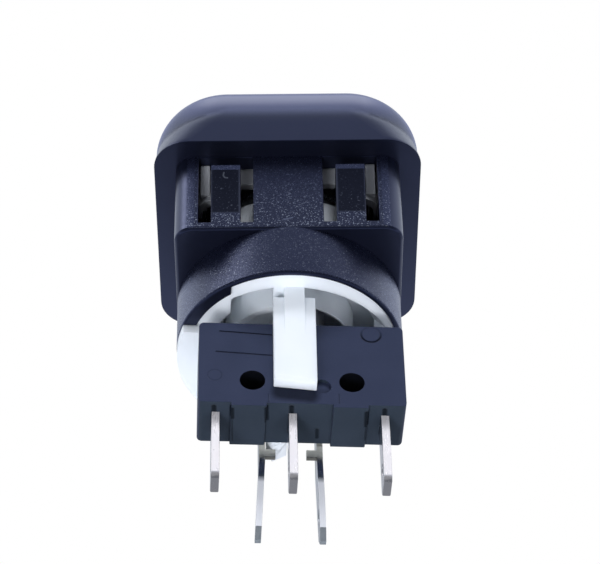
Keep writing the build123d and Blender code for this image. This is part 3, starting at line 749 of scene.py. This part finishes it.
def springPoints(form):
    # the first and last turn lie flat, the rest climb evenly
    steps = int(form["turns"] * form["stepsPerTurn"])
    flat = form["closedTurns"]
    climb = form["turns"] - 2 * flat
    close = 2 * form["wire"]
    points = []
    for step in range(steps + 1):
        turn = step / form["stepsPerTurn"]
        if turn < flat:
            along = close * turn
        elif turn > form["turns"] - flat:
            along = form["rear"] - form["front"] - close * (form["turns"] - turn)
        else:
            share = (turn - flat) / climb
            along = close * flat + share * (form["rear"] - form["front"] - 2 * close * flat)
        angle = 2 * math.pi * turn
        points.append(Vector((form["radius"] * math.cos(angle), form["front"] + along,
                              form["radius"] * math.sin(angle))) * mm)
    return points


def wireTree():
    tree = bpy.data.node_groups.new("wireAlongPath", "GeometryNodeTree")
    tree.interface.new_socket("Geometry", in_out="INPUT", socket_type="NodeSocketGeometry")
    tree.interface.new_socket("Wire Radius", in_out="INPUT", socket_type="NodeSocketFloat")
    tree.interface.new_socket("Finish", in_out="INPUT", socket_type="NodeSocketMaterial")
    tree.interface.new_socket("Geometry", in_out="OUTPUT", socket_type="NodeSocketGeometry")
    start = tree.nodes.new("NodeGroupInput")
    end = tree.nodes.new("NodeGroupOutput")
    circle = tree.nodes.new("GeometryNodeCurvePrimitiveCircle")
    circle.inputs["Resolution"].default_value = springForm["sides"]
    sweep = tree.nodes.new("GeometryNodeCurveToMesh")
    sweep.inputs["Fill Caps"].default_value = True
    realize = tree.nodes.new("GeometryNodeRealizeInstances")
    paint = tree.nodes.new("GeometryNodeSetMaterial")
    tree.links.new(start.outputs["Wire Radius"], circle.inputs["Radius"])
    tree.links.new(start.outputs["Geometry"], sweep.inputs["Curve"])
    tree.links.new(circle.outputs["Curve"], sweep.inputs["Profile Curve"])
    tree.links.new(sweep.outputs["Mesh"], realize.inputs["Geometry"])
    tree.links.new(realize.outputs["Geometry"], paint.inputs["Geometry"])
    tree.links.new(start.outputs["Finish"], paint.inputs["Material"])
    tree.links.new(paint.outputs["Geometry"], end.inputs["Geometry"])
    return tree


def setInputs(modifier, values):
    identifiers = {item.name: item.identifier for item in modifier.node_group.interface.items_tree
                   if item.item_type == "SOCKET" and item.in_out == "INPUT"}
    for name, value in values.items():
        modifier[identifiers[name]] = value


def makeWire(name, points, radius, material, tree):
    curve = bpy.data.curves.new(name + "Path", "CURVE")
    curve.dimensions = "3D"
    spline = curve.splines.new("POLY")
    spline.points.add(len(points) - 1)
    for point, place in zip(spline.points, points):
        point.co = (*place, 1)
    path = bpy.data.objects.new(name + "Path", curve)
    bpy.context.scene.collection.objects.link(path)
    modifier = path.modifiers.new("wire", "NODES")
    modifier.node_group = tree
    setInputs(modifier, {"Wire Radius": radius * mm, "Finish": material})
    depsgraph = bpy.context.evaluated_depsgraph_get()
    mesh = bpy.data.meshes.new_from_object(path.evaluated_get(depsgraph), depsgraph=depsgraph)
    bpy.data.objects.remove(path)
    mesh.materials.clear()
    mesh.materials.append(material)
    for polygon in mesh.polygons:
        polygon.use_smooth = True
        polygon.material_index = 0
    return addObject(name, mesh)


spring = makeWire("returnSpring", springPoints(springForm), springForm["wire"], metals["springSteel"],
                  wireTree())
standFor(spring, "housing", "spring_steel", "return_spring")
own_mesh(spring)
print("spring ready")


# Floor, lamps, world and camera

stageForm = {
    "floorDrop": 0.02,
    "floorHalf": 1.6,
    "floorColor": (0.84, 0.86, 0.89),
    "floorGloss": (0.88, 0.95, 1.07),
    "nearSpan": (-10.0, 40.0),  # along y, where the floor in a gloss goes from white to nearShare
    "nearShare": 0.24,
    "worldColor": (0.87, 0.94, 1.08),
    "worldBase": 0.16,
    "worldBack": 0.50,          # brighter behind the object, below the zenith
    "worldBackSpan": (-0.6, 0.0),
    "worldZenith": (0.80, 0.95),
    "worldHorizon": 0.98,       # white near the horizon
    "worldHorizonSpan": (0.05, 0.30),
    "aim": (0, 0.01, 0),
    "softTone": (0.95, 0.98, 1.05),
}
# name, place, size, power, and whether the lamp is seen in glosses
lamps = [
    ("keyLamp", (0.05, -0.10, 0.85), 0.9, 0.35, True),
    ("leftLamp", (0.46, -0.46, 0.26), 0.28, 0.75, True),
    ("rightLamp", (-0.50, -0.30, 0.30), 0.30, 0.22, True),
    ("washLamp", (-0.08, -0.53, 0.49), 0.16, 2.85, False),
    ("fillLamp", (-0.10, 0.60, 0.14), 0.22, 0.4, False),
    ("frontLamp", (0.17, 0.52, 0.27), 0.15, 2.0, False),
    ("liftLamp", (-0.30, 0.46, 0.33), 0.15, 0.55, False),
]


def makeFloor(form):
    # plain white to the camera and through glass, a tinted glow in glosses that dims toward the camera's side,
    # lit paper to everything else
    half = form["floorHalf"]
    low = cadCorners[0].z - form["floorDrop"] * mm
    mesh = bpy.data.meshes.new("studioFloor")
    corners = [(-half, -half, low), (half, -half, low), (half, half, low), (-half, half, low)]
    mesh.from_pydata(corners, [], [(0, 1, 2, 3)])
    material = bpy.data.materials.new("floorPaper")
    material.use_nodes = True
    tree = material.node_tree
    tree.nodes.clear()
    output = tree.nodes.new("ShaderNodeOutputMaterial")
    lit = tree.nodes.new("ShaderNodeBsdfDiffuse")
    lit.inputs["Color"].default_value = (*form["floorColor"], 1)
    path = tree.nodes.new("ShaderNodeLightPath")
    place = tree.nodes.new("ShaderNodeTexCoord")
    x, y, z = coordinates(tree, place.outputs["Object"])
    shine = placeRamp(tree, y, form["nearSpan"], 1.0, form["nearShare"])
    seen = calc(tree, "MAXIMUM", path.outputs["Is Camera Ray"], path.outputs["Is Transmission Ray"])
    glow = tree.nodes.new("ShaderNodeEmission")
    tree.links.new(blendColors(tree, seen, form["floorGloss"], (1, 1, 1)), glow.inputs["Color"])
    tree.links.new(calc(tree, "MAXIMUM", seen, shine), glow.inputs["Strength"])
    mix = tree.nodes.new("ShaderNodeMixShader")
    tree.links.new(calc(tree, "MAXIMUM", seen, path.outputs["Is Glossy Ray"]), mix.inputs["Fac"])
    tree.links.new(lit.outputs[0], mix.inputs[1])
    tree.links.new(glow.outputs[0], mix.inputs[2])
    tree.links.new(mix.outputs[0], output.inputs[0])
    mesh.materials.append(material)
    floor = addObject("studioFloor", mesh)
    return floor


def makeWorld(form):
    world = bpy.data.worlds.new("studioWorld")
    bpy.context.scene.world = world
    world.use_nodes = True
    tree = world.node_tree
    tree.nodes.clear()
    output = tree.nodes.new("ShaderNodeOutputWorld")
    place = tree.nodes.new("ShaderNodeTexCoord")
    x, y, z = coordinates(tree, place.outputs["Generated"])
    behind = ramp(tree, y, *form["worldBackSpan"], form["worldBack"], 0.0, "SMOOTHSTEP")
    belowZenith = ramp(tree, z, *form["worldZenith"], 1.0, 0.0, "SMOOTHSTEP")
    horizon = ramp(tree, z, *form["worldHorizonSpan"], form["worldHorizon"], 0.0, "SMOOTHSTEP")
    sky = calc(tree, "MULTIPLY", behind, belowZenith)
    level = calc(tree, "ADD", calc(tree, "MAXIMUM", sky, horizon), form["worldBase"])
    soft = tree.nodes.new("ShaderNodeBackground")
    soft.inputs["Color"].default_value = (*form["worldColor"], 1)
    tree.links.new(level, soft.inputs["Strength"])
    white = tree.nodes.new("ShaderNodeBackground")
    white.inputs["Color"].default_value = (1, 1, 1, 1)
    path = tree.nodes.new("ShaderNodeLightPath")
    mix = tree.nodes.new("ShaderNodeMixShader")
    tree.links.new(path.outputs["Is Camera Ray"], mix.inputs["Fac"])
    tree.links.new(soft.outputs[0], mix.inputs[1])
    tree.links.new(white.outputs[0], mix.inputs[2])
    tree.links.new(mix.outputs[0], output.inputs[0])


def makeLamp(name, place, size, power, inGloss):
    data = bpy.data.lights.new(name, "AREA")
    data.shape = "SQUARE"
    data.size = size
    data.energy = power
    data.color = (1, 1, 1) if inGloss else stageForm["softTone"]
    lamp = bpy.data.objects.new(name, data)
    bpy.context.scene.collection.objects.link(lamp)
    lamp.location = place
    lamp.visible_glossy = inGloss
    lamp.rotation_mode = "QUATERNION"
    lamp.rotation_quaternion = (Vector(stageForm["aim"]) - Vector(place)).to_track_quat("-Z", "Y")


makeFloor(stageForm)
makeWorld(stageForm)
for lamp in lamps:
    makeLamp(*lamp)

# the place and the directions of the photograph's camera
cameraForm = {
    "place": (2.0912, 194.0256, 195.4712),
    "right": (-0.9998749, 0.01573689, 0.001594),
    "up": (-0.01025935, -0.72193065, 0.69188935),
    "forward": (-0.01203894, -0.69178644, -0.72200179),
    "lens": 158.66,
    "sensor": 36.0,
}
cameraData = bpy.data.cameras.new("photoCamera")
cameraData.sensor_fit = "HORIZONTAL"
cameraData.sensor_width = cameraForm["sensor"]
cameraData.lens = cameraForm["lens"]
cameraData.clip_start = 0.01
camera = bpy.data.objects.new("photoCamera", cameraData)
bpy.context.scene.collection.objects.link(camera)
right, up, forward = (Vector(cameraForm[key]) for key in ("right", "up", "forward"))
turned = Matrix((right, up, -forward)).transposed()
camera.matrix_world = Matrix.Translation(Vector(cameraForm["place"]) * mm) @ turned.to_4x4()
bpy.context.scene.camera = camera
bpy.context.scene.view_settings.view_transform = "Standard"
print("stage ready")
